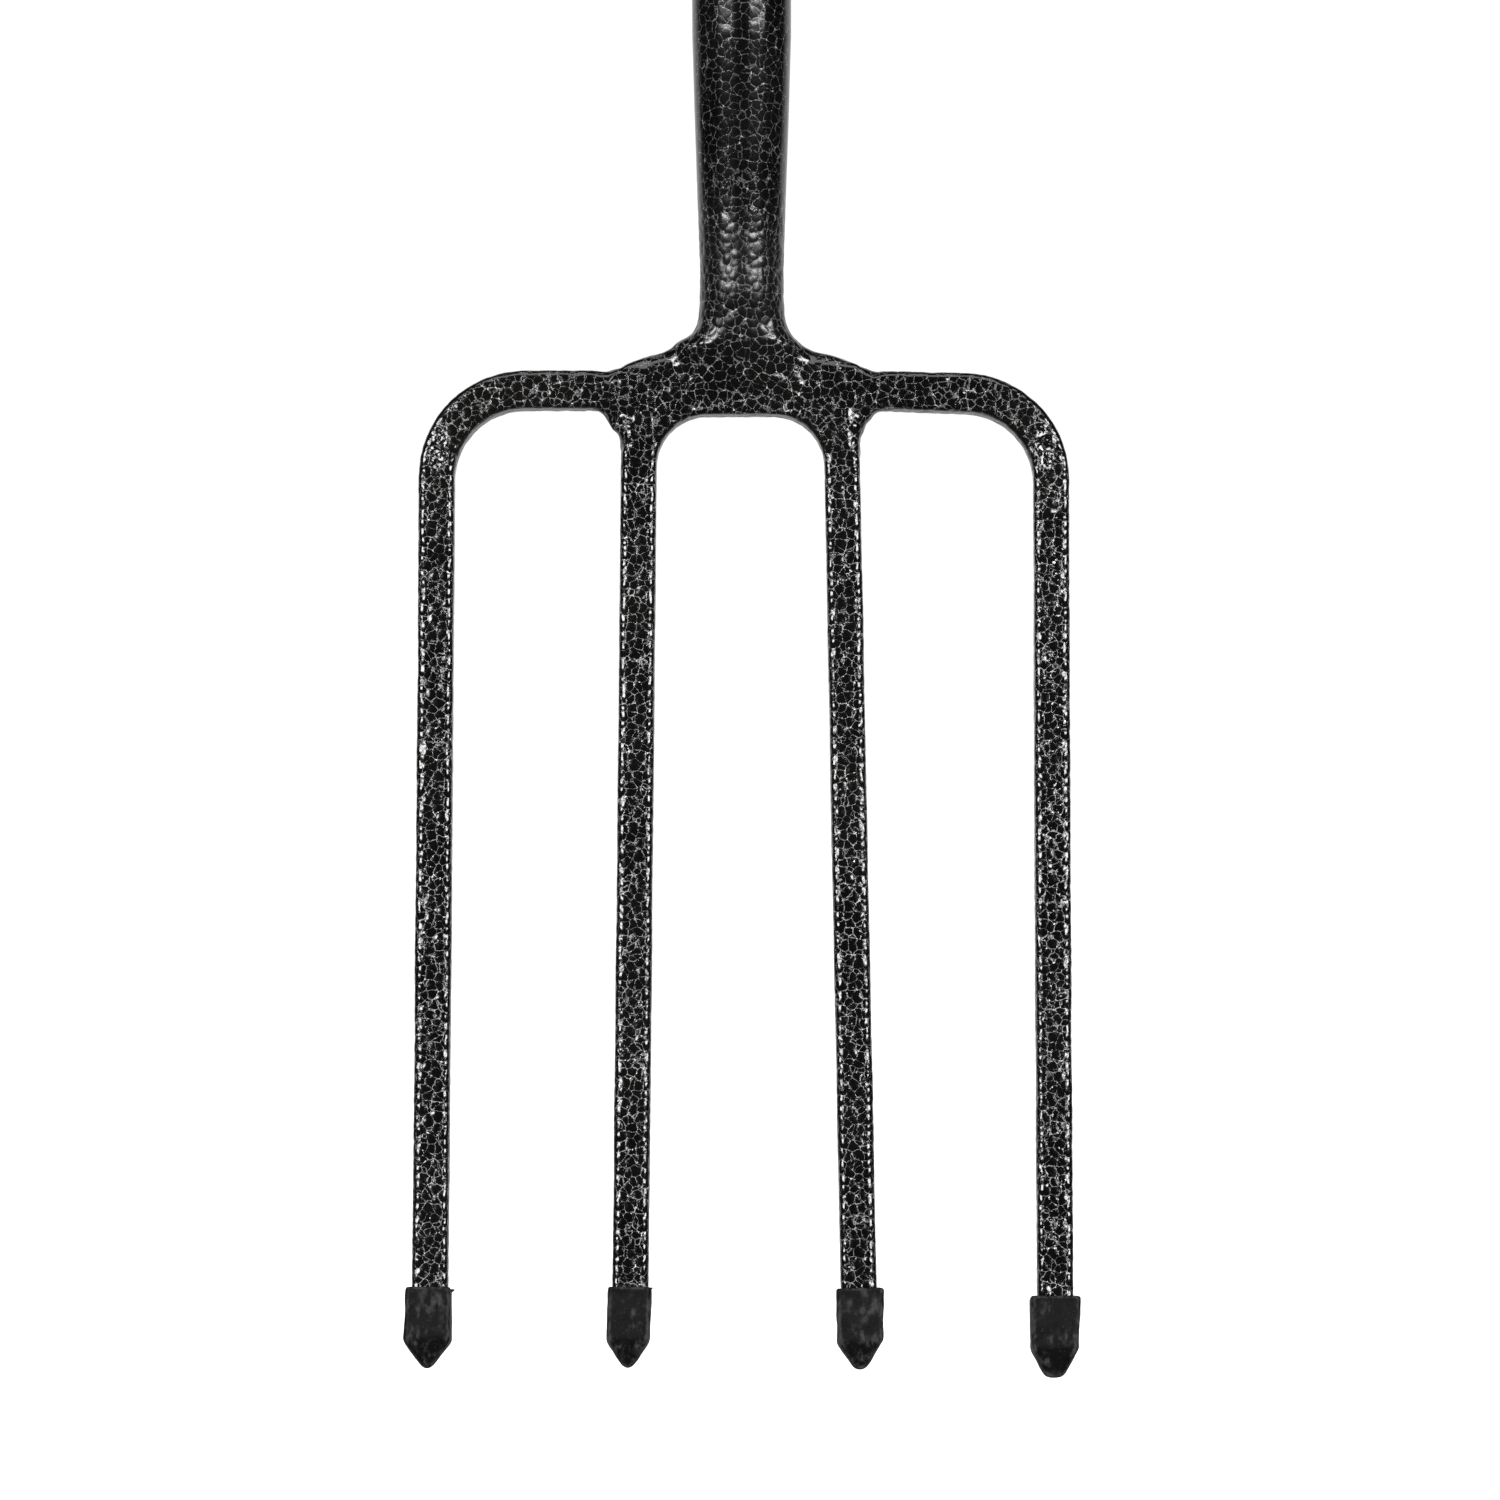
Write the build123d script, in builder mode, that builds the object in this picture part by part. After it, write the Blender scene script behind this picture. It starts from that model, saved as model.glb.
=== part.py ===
"""Four-tine hay fork with a welded steel head, moulded tip guards and a straight ash shaft. Millimetres.

+Z runs up the shaft and the fork's front, the side that the tines curve towards, faces -Y. The origin lies under
the middle of the whole fork, level with its lowest point.

The head is drawn in its own plane, tilted forward from the shaft: u is across, v is up the head and w is out of
its front. Each bar is its front outline cut to one side profile, which curves the tines gently forward.
"""

from build123d import *

import os
from math import cos, radians, sin

# Head: outer sizes and the crossbar
BAR_WIDTH = 10.4
BAR_DEPTH = 9.6
ARM_WIDTH = 11.2  # the bars that run across are a little wider
BAR_EDGE = 1.8
LONG_EDGE = 12.0  # an edge shorter than this lies across a bar, and stays sharp
ARM_JOINT = 38.0  # where each arm meets the yoke, from the centre
OUTER_CORNER = 30.5  # outside radius where an arm turns down into its tine
INNER_CORNER = 20.0  # inside radius of the same turn
YOKE_CORNER = 14.7  # radius under the yoke, beside each inner tine
YOKE_UNDERSIDE = -7.3
BOSS_TOP = 12.2
BOSS_HALF_TOP = 18.4
BOSS_SHOULDER = (28.9, 9.7)
BOSS_SLOPES = (0.25, 0.12)  # of its outline, where it leaves the arm and where it reaches the top

# Tines, from left to right as seen from the front: where the axis crosses the crossbar, its outward splay, and
# how far its corner hangs below the middle of the crossbar
TINES = {
    "outer_left": {"u": -87.8, "splay": -0.15, "drop": 0.0},
    "inner_left": {"u": -29.5, "splay": -0.46, "drop": 0.0},
    "inner_right": {"u": 28.6, "splay": 1.04, "drop": 0.0},
    "outer_right": {"u": 89.2, "splay": -0.02, "drop": 1.6},
}
TINE_SHOULDER = 270.0  # from the crossbar to where the tine starts to point
TINE_TIP = 278.0
TIP_WIDTH = 2.4
TIP_DEPTH = 2.0
TIP_EASE = 0.4

# Side profile: the head's tilt at the crossbar, then an arc, then a straight end that the guard slides along
HEAD_TILT = 5.5
CURVE_START = 40.0
CURVE_ANGLE = 4.0
CURVE_END = 235.0

# Tip guards: width and sideways set at the mouth, the shoulder and the tip, and how far short of its full seat
# each one sits
GUARDS = {
    "outer_left": {"widths": (12.7, 13.6, 2.6), "sets": (-0.4, -0.6, -0.8), "seat": 0.0},
    "inner_left": {"widths": (12.4, 12.4, 2.8), "sets": (-0.15, -0.55, -0.6), "seat": 0.0},
    "inner_right": {"widths": (13.7, 12.9, 3.6), "sets": (0.4, 0.0, -0.2), "seat": 0.3},
    "outer_right": {"widths": (14.3, 13.4, 5.2), "sets": (0.0, -0.35, -0.4), "seat": 2.5},
}
GUARD_MOUTH = 258.6
GUARD_SHOULDER = 273.5
GUARD_TIP = 281.6
GUARD_WALL = 1.25
GUARD_EDGE = 1.3
GUARD_TIP_EDGE = 0.28  # as a part of the tip's width
GUARD_RIM_EDGE = 0.4
GUARD_CLEARANCE = 0.15
TIP_LEAN = 0.3  # how far the lowest tip's edge hangs below its middle

# Socket, by height above the middle of the crossbar
SHAFT_RADIUS = 14.3
SOCKET_RADIUS = 14.35
SOCKET_WALL = 1.8
NECK_RADIUS = 12.2
NECK_FLARE = 0.2  # how much wider the neck is where the foot begins
FOOT_BOTTOM = 0.5
FOOT_SIZE = (30.0, 13.6)
FOOT_ROUND = 5.5
NECK_BOTTOM = 26.0
NECK_TOP = 35.0
TAPER_TOP = 102.0
SOCKET_TOP = 171.0
BORE_BOTTOM = 32.0
TAIL_BOTTOM = 38.0
TAIL_GAP = 0.1

# Weld round the socket's foot, and under each arm
COLLAR_BOTTOM = 7.0
COLLAR_MIDDLE = 13.3
COLLAR_TOP = 16.8
COLLAR_BULGE = 2.7  # either side of the foot
COLLAR_DEPTH = 19.8
COLLAR_TOP_SIZE = (28.0, 21.4)  # a little proud of the foot all round
COLLAR_TOP_ROUND = 10.0
ARM_WELD_DEPTH = 5.4
ARM_WELDS = {
    "inner_left": {"reach": -40.6, "middle": (-38.3, -9.9), "drop": 14.3},
    "inner_right": {"reach": 39.8, "middle": (36.4, -9.6), "drop": 15.4},
}

# Shaft and rivet
SHAFT_TOP = 1105.0
SHAFT_END_ROUND = 9.0
MOUTH_CHAMFER = 0.8
RIVET_HEIGHT = 150.0
RIVET_RADIUS = 2.5
RIVET_HEAD_RADIUS = 4.8
RIVET_HEAD = 2.2
RIVET_GAP = 0.05

REACH = 60.0  # longer than any head bar is deep, either way
SPAN = 200.0  # wider than the head, either way


def head_vector(u, v, w):
    """A direction in the head's own terms, as a vector in the fork's frame."""
    tilt = radians(HEAD_TILT)
    return Vector(u, v * sin(tilt) - w * cos(tilt), v * cos(tilt) + w * sin(tilt))


def curve_radius():
    return (CURVE_END - CURVE_START) / sin(radians(CURVE_ANGLE))


def curved_end():
    """(v, w) where the side profile's arc gives way to its straight end."""
    return -CURVE_END, curve_radius() * (1 - cos(radians(CURVE_ANGLE)))


def straight_point(v, out=0.0):
    """(v, w) on the straight end's middle line at height v, or that far out of its front."""
    end_v, end_w = curved_end()
    bend = radians(CURVE_ANGLE)
    along = (end_v - v) / cos(bend)
    return v + out * sin(bend), end_w + along * sin(bend) + out * cos(bend)


LOWEST = max(GUARDS.values(), key=lambda guard: guard["seat"])["seat"] + GUARD_TIP
LOW_V, LOW_W = straight_point(-LOWEST)
FRONT = -head_vector(0, *straight_point(-GUARD_SHOULDER, BAR_DEPTH / 2 + GUARD_WALL)).Y
BACK = SOCKET_RADIUS + RIVET_HEAD
SHAFT_Y = (FRONT - BACK) / 2
CROSSBAR_Z = TIP_LEAN - head_vector(0, LOW_V, LOW_W).Z
CROSSBAR = Vector(0, SHAFT_Y, CROSSBAR_Z)

HEAD = Plane(CROSSBAR, x_dir=(1, 0, 0), z_dir=head_vector(0, 0, 1))
SIDE = Plane(CROSSBAR, x_dir=head_vector(0, 1, 0), z_dir=(1, 0, 0))


def level(height):
    """The plane square to the shaft at that height above the crossbar."""
    return Plane(CROSSBAR + Vector(0, 0, height))


def tine_point(name, v, out=0.0):
    """(u, v) on a tine's axis at v, moved out across the tine."""
    splay = radians(TINES[name]["splay"])
    return TINES[name]["u"] - v * sin(splay) / cos(splay) + out, v


def side_band(gap=0.0):
    """A slab as wide as the head, with the side profile shared by all of its bars, made thicker by gap."""
    half = BAR_DEPTH / 2 + gap
    bend = CURVE_ANGLE
    radius = curve_radius()
    with BuildPart() as band:
        with BuildSketch(SIDE):
            with BuildLine():
                front = Line((REACH, half), (-CURVE_START, half))
                front_arc = JernArc(front @ 1, (-1, 0), radius - half, -bend)
                front_end = Line(front_arc @ 1, straight_point(-TINE_TIP - gap, half))
                back = Line((REACH, -half), (-CURVE_START, -half))
                back_arc = JernArc(back @ 1, (-1, 0), radius + half, -bend)
                back_end = Line(back_arc @ 1, straight_point(-TINE_TIP - gap, -half))
                Line(front_end @ 1, back_end @ 1)
                Line(front @ 0, back @ 0)
            make_face()
        extrude(amount=SPAN, both=True)
    return band.part


def tine_outline(name, top, gap=0.0):
    """The corners of a tine's front outline, from the top of its left edge round to the top of its right."""
    half = BAR_WIDTH / 2 + gap
    tip = -TINE_TIP - gap
    return [
        tine_point(name, top, -half),
        tine_point(name, tip, -half),
        tine_point(name, tip, half),
        tine_point(name, top, half),
    ]


def slide_axis(name):
    """The way a guard pulls off its tine: along both the tine's splayed sides and its straight end's faces."""
    splay, bend = radians(TINES[name]["splay"]), radians(CURVE_ANGLE)
    along = head_vector(sin(splay) * cos(bend), -cos(splay) * cos(bend), cos(splay) * sin(bend))
    return along.normalized()


def tine_plane(name, distance):
    """Square to the straight end of a tine, on its axis, at that distance below the crossbar."""
    origin = CROSSBAR + head_vector(tine_point(name, -distance)[0], *straight_point(-distance))
    facing = head_vector(0, sin(radians(CURVE_ANGLE)), cos(radians(CURVE_ANGLE)))
    return Plane(origin, x_dir=facing.cross(slide_axis(name)), z_dir=-slide_axis(name))


def pointing_cut(name, gap=0.0):
    """What comes off the square end of a tine to point it, with the point left larger by gap."""
    room = 2 * gap
    with BuildPart() as cut:
        with BuildSketch(tine_plane(name, TINE_SHOULDER)):
            Rectangle(2 * BAR_WIDTH, 2 * BAR_WIDTH)
        extrude(amount=-(TINE_TIP - TINE_SHOULDER) - BAR_WIDTH)
        with BuildSketch(tine_plane(name, TINE_SHOULDER)):
            Rectangle(BAR_WIDTH + TIP_EASE + room, BAR_DEPTH + TIP_EASE + room)
        with BuildSketch(tine_plane(name, TINE_TIP + gap)):
            Rectangle(TIP_WIDTH + room, TIP_DEPTH + room)
        loft(mode=Mode.SUBTRACT)
    return cut.part


def nearest(vertices, point):
    return vertices.sort_by_distance((point[0], point[1], 0))[0]


def long_edges(bar):
    """The edges that run along a bar, without those round its ends."""
    return [edge for edge in bar.edges() if edge.length > LONG_EDGE]


def outer_tine(name):
    """An arm and the tine that it turns down into, as one bent bar."""
    side = 1 if TINES[name]["u"] > 0 else -1
    half = BAR_WIDTH / 2
    arm = ARM_WIDTH / 2
    drop = TINES[name]["drop"]
    outline = tine_outline(name, -drop)
    outside = tine_point(name, arm - drop, side * half)
    inside = tine_point(name, -arm - drop, -side * half)
    outline[0], outline[-1] = (outside, inside) if side < 0 else (inside, outside)
    joint = [(side * ARM_JOINT, side * arm), (side * ARM_JOINT, -side * arm)]
    band = side_band()
    point = pointing_cut(name)
    with BuildPart() as bar:
        with BuildSketch(HEAD) as front:
            with BuildLine():
                Polyline(*outline, *joint, close=True)
            make_face()
            fillet(nearest(front.vertices(), outside), radius=OUTER_CORNER)
            fillet(nearest(front.vertices(), inside), radius=INNER_CORNER)
        extrude(amount=REACH, both=True)
        add(band, mode=Mode.INTERSECT)
        fillet(long_edges(bar), radius=BAR_EDGE)
        add(point, mode=Mode.SUBTRACT)
    return bar


def yoke():
    """The forging between the arms: a raised boss for the socket, with the two inner tines below it."""
    half = BAR_WIDTH / 2
    arm = ARM_WIDTH / 2
    left, right = "inner_left", "inner_right"
    left_tine = tine_outline(left, -arm)
    right_tine = tine_outline(right, -arm)
    left_tine[-1] = tine_point(left, YOKE_UNDERSIDE, half)
    right_tine[0] = tine_point(right, YOKE_UNDERSIDE, -half)
    band = side_band()
    points = [pointing_cut(name) for name in (left, right)]
    with BuildPart() as bar:
        with BuildSketch(HEAD) as front:
            with BuildLine():
                Polyline((-ARM_JOINT, arm), (-ARM_JOINT, -arm), *left_tine, *right_tine)
                Polyline(right_tine[-1], (ARM_JOINT, -arm), (ARM_JOINT, arm))
                for side in (1, -1):
                    shoulder = (side * BOSS_SHOULDER[0], BOSS_SHOULDER[1])
                    ends = ((side * ARM_JOINT, arm), (side * BOSS_HALF_TOP, BOSS_TOP))
                    ways = ((-side, BOSS_SLOPES[0]), (-side, BOSS_SLOPES[1]))
                    Spline(ends[0], shoulder, ends[1], tangents=ways)
                Line((BOSS_HALF_TOP, BOSS_TOP), (-BOSS_HALF_TOP, BOSS_TOP))
            make_face()
            for corner in (left_tine[-1], right_tine[0]):
                fillet(nearest(front.vertices(), corner), radius=YOKE_CORNER)
        extrude(amount=REACH, both=True)
        add(band, mode=Mode.INTERSECT)
        fillet(long_edges(bar), radius=BAR_EDGE)
        for point in points:
            add(point, mode=Mode.SUBTRACT)
    return bar


def socket(yoke_bar):
    """The tube that holds the shaft: parallel at the mouth, tapered to a neck, and flattened into a foot that
    straddles the yoke's boss."""
    with BuildPart() as tube:
        with BuildSketch(level(FOOT_BOTTOM)):
            RectangleRounded(*FOOT_SIZE, FOOT_ROUND)
        with BuildSketch(level(NECK_BOTTOM)):
            Circle(NECK_RADIUS + NECK_FLARE)
        loft()
        with BuildSketch(level(NECK_BOTTOM)):
            Circle(NECK_RADIUS + NECK_FLARE)
        with BuildSketch(level(NECK_TOP)):
            Circle(NECK_RADIUS)
        loft()
        with BuildSketch(level(NECK_TOP)):
            Circle(NECK_RADIUS)
        with BuildSketch(level(TAPER_TOP)):
            Circle(SOCKET_RADIUS)
        loft()
        with BuildSketch(level(TAPER_TOP)):
            Circle(SOCKET_RADIUS)
        extrude(amount=SOCKET_TOP - TAPER_TOP)
        with BuildSketch(level(BORE_BOTTOM)):
            Circle(NECK_RADIUS - SOCKET_WALL)
        with BuildSketch(level(TAPER_TOP)):
            Circle(SOCKET_RADIUS - SOCKET_WALL)
        loft(mode=Mode.SUBTRACT)
        with BuildSketch(level(TAPER_TOP)):
            Circle(SOCKET_RADIUS - SOCKET_WALL)
        extrude(amount=SOCKET_TOP - TAPER_TOP, mode=Mode.SUBTRACT)
        with BuildSketch(rivet_plane()):
            Circle(RIVET_RADIUS + RIVET_GAP)
        extrude(amount=SOCKET_RADIUS * 2, both=True, mode=Mode.SUBTRACT)
        add(yoke_bar.part, mode=Mode.SUBTRACT)
    return tube


def rivet_plane():
    """Square to the rivet, which runs from front to back through the socket and the shaft."""
    return Plane(CROSSBAR + Vector(0, 0, RIVET_HEIGHT), x_dir=(1, 0, 0), z_dir=(0, -1, 0))


def collar(yoke_bar, tube):
    """The weld bead round the socket's foot, where it meets the top and the faces of the boss."""
    wide = (FOOT_SIZE[0] + 2 * COLLAR_BULGE, COLLAR_DEPTH)
    with BuildPart() as bead:
        with BuildSketch(level(COLLAR_BOTTOM)):
            RectangleRounded(*FOOT_SIZE, FOOT_ROUND)
        with BuildSketch(level(COLLAR_MIDDLE)):
            RectangleRounded(*wide, FOOT_ROUND + COLLAR_BULGE)
        loft()
        with BuildSketch(level(COLLAR_MIDDLE)):
            RectangleRounded(*wide, FOOT_ROUND + COLLAR_BULGE)
        with BuildSketch(level(COLLAR_TOP)):
            RectangleRounded(*COLLAR_TOP_SIZE, COLLAR_TOP_ROUND)
        loft()
        add(yoke_bar.part, mode=Mode.SUBTRACT)
        add(tube.part, mode=Mode.SUBTRACT)
    return bead


def arm_weld(name, arm):
    """The bead in the corner under an arm, against the outer side of the inner tine."""
    side = 1 if TINES[name]["u"] > 0 else -1
    half = BAR_WIDTH / 2
    corner = tine_point(name, -ARM_WIDTH / 2, side * half)
    foot = tine_point(name, -ARM_WELDS[name]["drop"], side * half)
    reach = (ARM_WELDS[name]["reach"], -ARM_WIDTH / 2)
    middle = ARM_WELDS[name]["middle"]
    with BuildPart() as bead:
        with BuildSketch(HEAD):
            with BuildLine():
                Polyline(foot, corner, reach)
                ThreePointArc(reach, middle, foot)
            make_face()
        extrude(amount=ARM_WELD_DEPTH / 2, both=True)
        add(arm.part, mode=Mode.SUBTRACT)
    return bead


def tip_guard(name):
    """A moulded sleeve with a blunt wedge of an end, hollowed to the shape of the tine that it covers."""
    widths, sets, seat = GUARDS[name].values()
    depth = BAR_DEPTH + 2 * GUARD_WALL
    distances = (GUARD_MOUTH, GUARD_SHOULDER, GUARD_TIP)
    space = tine_space(name)
    with BuildPart() as guard:
        for distance, width, aside, thickness in zip(distances, widths, sets, (depth, depth, widths[-1])):
            with BuildSketch(tine_plane(name, distance + seat)):
                with Locations((aside, 0)):
                    Rectangle(width, thickness)
        loft(ruled=True)
        rim = guard.faces().sort_by(Axis.Z)[-1].edges()
        tip = guard.faces().sort_by(Axis.Z)[0].edges()
        sides = [edge for edge in guard.edges() if edge not in rim and edge not in tip]
        fillet(sides, radius=GUARD_EDGE)
        blunt = guard.faces().sort_by(Axis.Z)[0]
        fillet(blunt.edges(), radius=GUARD_TIP_EDGE * widths[-1])
        fillet(guard.faces().sort_by(Axis.Z)[-1].edges(), radius=GUARD_RIM_EDGE)
        add(space, mode=Mode.SUBTRACT)
    return guard


def tine_space(name):
    """The room that a guard leaves for its tine, open at the guard's mouth."""
    band = side_band(GUARD_CLEARANCE)
    point = pointing_cut(name, GUARD_CLEARANCE)
    with BuildPart() as space:
        with BuildSketch(HEAD):
            with BuildLine():
                Polyline(*tine_outline(name, -CURVE_END, GUARD_CLEARANCE), close=True)
            make_face()
        extrude(amount=REACH, both=True)
        add(band, mode=Mode.INTERSECT)
        add(point, mode=Mode.SUBTRACT)
    return space.part.moved(Location(slide_axis(name) * GUARDS[name]["seat"]))


def shaft():
    """The straight ash shaft: a tail turned to fill the socket, then parallel up to its rounded end."""
    bore = SOCKET_RADIUS - SOCKET_WALL
    slope = (SOCKET_RADIUS - NECK_RADIUS) / (TAPER_TOP - BORE_BOTTOM)
    tail_radius = bore - (TAPER_TOP - TAIL_BOTTOM) * slope - TAIL_GAP
    with BuildPart() as wood:
        with BuildSketch(level(TAIL_BOTTOM)):
            Circle(tail_radius)
        with BuildSketch(level(TAPER_TOP)):
            Circle(bore - TAIL_GAP)
        loft()
        with BuildSketch(level(TAPER_TOP)):
            Circle(bore - TAIL_GAP)
        extrude(amount=SOCKET_TOP - TAPER_TOP)
        with BuildSketch(level(SOCKET_TOP)):
            Circle(SHAFT_RADIUS)
        extrude(amount=SHAFT_TOP - SOCKET_TOP)
        rims = wood.edges().filter_by(GeomType.CIRCLE).sort_by(Axis.Z)
        fillet(rims[-1], radius=SHAFT_END_ROUND)
        mouth = rims.filter_by(lambda edge: edge.radius > bore)
        chamfer(mouth[0], length=MOUTH_CHAMFER)
        with BuildSketch(rivet_plane()):
            Circle(RIVET_RADIUS + RIVET_GAP)
        extrude(amount=SOCKET_RADIUS * 2, both=True, mode=Mode.SUBTRACT)
    return wood


def rivet():
    """The pin through the socket and the shaft, closed down on the tube by a domed head at each end."""
    crown = SOCKET_RADIUS + RIVET_HEAD
    dome = (RIVET_HEAD_RADIUS**2 + RIVET_HEAD**2) / (2 * RIVET_HEAD)
    middle = rivet_plane().origin
    with BuildPart() as pin:
        with BuildSketch(Plane(middle, x_dir=(0, -1, 0), z_dir=(1, 0, 0))):
            with BuildLine():
                Line((-crown, 0), (crown, 0))
                front = RadiusArc((crown, 0), (SOCKET_RADIUS, RIVET_HEAD_RADIUS), -dome)
                back = RadiusArc((-crown, 0), (-SOCKET_RADIUS, RIVET_HEAD_RADIUS), dome)
                Line(front @ 1, back @ 1)
            make_face()
        revolve(axis=Axis(middle, (0, -1, 0)))
        with BuildSketch(level(RIVET_HEIGHT - SOCKET_RADIUS)):
            Circle(SOCKET_RADIUS)
        extrude(amount=2 * SOCKET_RADIUS, mode=Mode.SUBTRACT)
        with BuildSketch(rivet_plane()):
            Circle(RIVET_RADIUS)
        extrude(amount=SOCKET_RADIUS + RIVET_HEAD / 2, both=True)
    return pin


def write(built, name):
    """Names a finished piece and writes it to the parts folder."""
    built.part.label = name
    export_step(built.part, f"parts/{name}.step")


def main():
    os.makedirs("parts", exist_ok=True)
    yoke_bar = yoke()
    tube = socket(yoke_bar)
    write(yoke_bar, "yoke")
    write(tube, "socket")
    write(collar(yoke_bar, tube), "socket_weld")
    for side in ("left", "right"):
        tine = outer_tine(f"outer_{side}")
        write(tine, f"outer_{side}_tine")
        write(arm_weld(f"inner_{side}", tine), f"{side}_arm_weld")
    for name in GUARDS:
        write(tip_guard(name), f"{name}_guard")
    write(shaft(), "shaft")
    write(rivet(), "rivet")


main()
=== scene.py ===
"""Looks for the hay fork, in a pale studio.

The steel has a black hammer finish, the tips have moulded guards, and the shaft is ash.
"""

import math

import bmesh
import bpy
import numpy as np
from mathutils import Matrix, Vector


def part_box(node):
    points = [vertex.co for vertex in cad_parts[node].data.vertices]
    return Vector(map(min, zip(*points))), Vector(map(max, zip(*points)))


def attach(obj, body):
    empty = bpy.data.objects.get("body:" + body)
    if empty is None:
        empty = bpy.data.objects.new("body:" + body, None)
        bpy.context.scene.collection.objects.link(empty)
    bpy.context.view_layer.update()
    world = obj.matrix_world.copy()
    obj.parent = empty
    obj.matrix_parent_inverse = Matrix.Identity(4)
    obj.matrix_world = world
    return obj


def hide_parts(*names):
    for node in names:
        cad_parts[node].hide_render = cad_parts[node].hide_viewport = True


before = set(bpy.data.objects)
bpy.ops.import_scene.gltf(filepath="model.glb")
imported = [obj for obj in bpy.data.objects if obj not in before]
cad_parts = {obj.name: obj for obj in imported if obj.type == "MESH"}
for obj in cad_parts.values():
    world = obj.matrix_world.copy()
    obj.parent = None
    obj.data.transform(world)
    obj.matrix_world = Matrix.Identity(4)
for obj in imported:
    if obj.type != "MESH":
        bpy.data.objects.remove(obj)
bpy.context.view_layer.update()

scene = bpy.context.scene
scene.view_settings.view_transform = "Standard"
scene.view_settings.look = "None"
MM = 0.001

# ---------------------------------------------------------------- camera
VIEW_DISTANCE = 2.12  # how far the lens is in front of the origin
VIEW_WIDTH = 0.4305  # what the picture takes in at that distance
VIEW_HEIGHT = 0.1785  # the lens over the origin
VIEW_ACROSS = 0.0024
SENSOR_WIDTH = 36.0
FARTHEST_SEEN = 60.0


def make_camera():
    data = bpy.data.cameras.new("camera")
    data.sensor_width = SENSOR_WIDTH
    data.lens = SENSOR_WIDTH * VIEW_DISTANCE / VIEW_WIDTH
    data.clip_end = FARTHEST_SEEN
    cam = bpy.data.objects.new("camera", data)
    cam.location = (VIEW_ACROSS, -VIEW_DISTANCE, VIEW_HEIGHT)
    cam.rotation_euler = (math.radians(90), 0, 0)
    scene.collection.objects.link(cam)
    scene.camera = cam


make_camera()


# ---------------------------------------------------------------- node helpers
class Tree:
    """A node tree, with short calls to add and join nodes."""

    def __init__(self, tree):
        self.tree = tree

    def add(self, kind, **values):
        node = self.tree.nodes.new(kind)
        for key, value in values.items():
            setattr(node, key, value)
        return node

    def join(self, out, socket):
        self.tree.links.new(out, socket)

    def feed(self, socket, value):
        if isinstance(value, bpy.types.NodeSocket):
            self.join(value, socket)
        elif value is not None:
            socket.default_value = value

    def math(self, operation, a, b=None, c=None):
        node = self.add("ShaderNodeMath", operation=operation)
        for socket, value in zip(node.inputs, (a, b, c)):
            self.feed(socket, value)
        return node.outputs[0]

    def vector(self, operation, a, b=None, scale=None):
        node = self.add("ShaderNodeVectorMath", operation=operation)
        for socket, value in zip(node.inputs, (a, b)):
            self.feed(socket, value)
        self.feed(node.inputs[3], scale)
        return node.outputs[0]

    def ramp(self, value, low, high):
        """0 up to low, 1 from high, and a smooth slope between. low may be above high."""
        node = self.add("ShaderNodeMapRange", interpolation_type="SMOOTHSTEP")
        self.feed(node.inputs["Value"], value)
        self.feed(node.inputs["From Min"], low)
        self.feed(node.inputs["From Max"], high)
        return node.outputs["Result"]

    def between(self, factor, a, b):
        """a where factor is 0 and b where it is 1."""
        node = self.add("ShaderNodeMix", data_type="FLOAT")
        self.feed(node.inputs["Factor"], factor)
        self.feed(node.inputs["A"], a)
        self.feed(node.inputs["B"], b)
        return node.outputs["Result"]

    def colour(self, factor, a, b):
        node = self.add("ShaderNodeMix", data_type="RGBA")
        self.feed(node.inputs["Factor"], factor)
        self.feed(node.inputs[6], a)
        self.feed(node.inputs[7], b)
        return node.outputs[2]

    def noise(self, where, size, detail=1.0, roughness=0.5, colour=False):
        """Cloudy values whose patches are about size across."""
        node = self.add("ShaderNodeTexNoise")
        self.feed(node.inputs["Vector"], where)
        node.inputs["Scale"].default_value = 1 / size
        node.inputs["Detail"].default_value = detail
        node.inputs["Roughness"].default_value = roughness
        return node.outputs["Color" if colour else "Fac"]

    def cells(self, where, size, feature, smoothness=None):
        """Distance, in cells, from the middles or the edges of cells that are about size across."""
        node = self.add("ShaderNodeTexVoronoi", feature=feature)
        self.feed(node.inputs["Vector"], where)
        node.inputs["Scale"].default_value = 1 / size
        node.inputs["Randomness"].default_value = 0.85
        if smoothness is not None:
            node.inputs["Smoothness"].default_value = smoothness
        return node.outputs["Distance"]


class Finish(Tree):
    """A material, with its node tree and its shader."""

    def __init__(self, name):
        self.material = bpy.data.materials.new(name)
        self.material.use_nodes = True
        super().__init__(self.material.node_tree)
        self.shader = self.tree.nodes["Principled BSDF"]
        self.place = self.add("ShaderNodeTexCoord").outputs["Object"]
        parts = self.add("ShaderNodeSeparateXYZ")
        self.join(self.place, parts.inputs[0])
        self.across = parts.outputs["X"]
        self.height = parts.outputs["Z"]

    def set(self, name, value):
        self.feed(self.shader.inputs[name], value)

    def bump(self, height, distance, under=None):
        node = self.add("ShaderNodeBump")
        node.inputs["Strength"].default_value = 1.0
        node.inputs["Distance"].default_value = distance
        self.feed(node.inputs["Height"], height)
        self.feed(node.inputs["Normal"], under)
        return node.outputs["Normal"]


def grey(level):
    return (level, level, level, 1.0)


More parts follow.
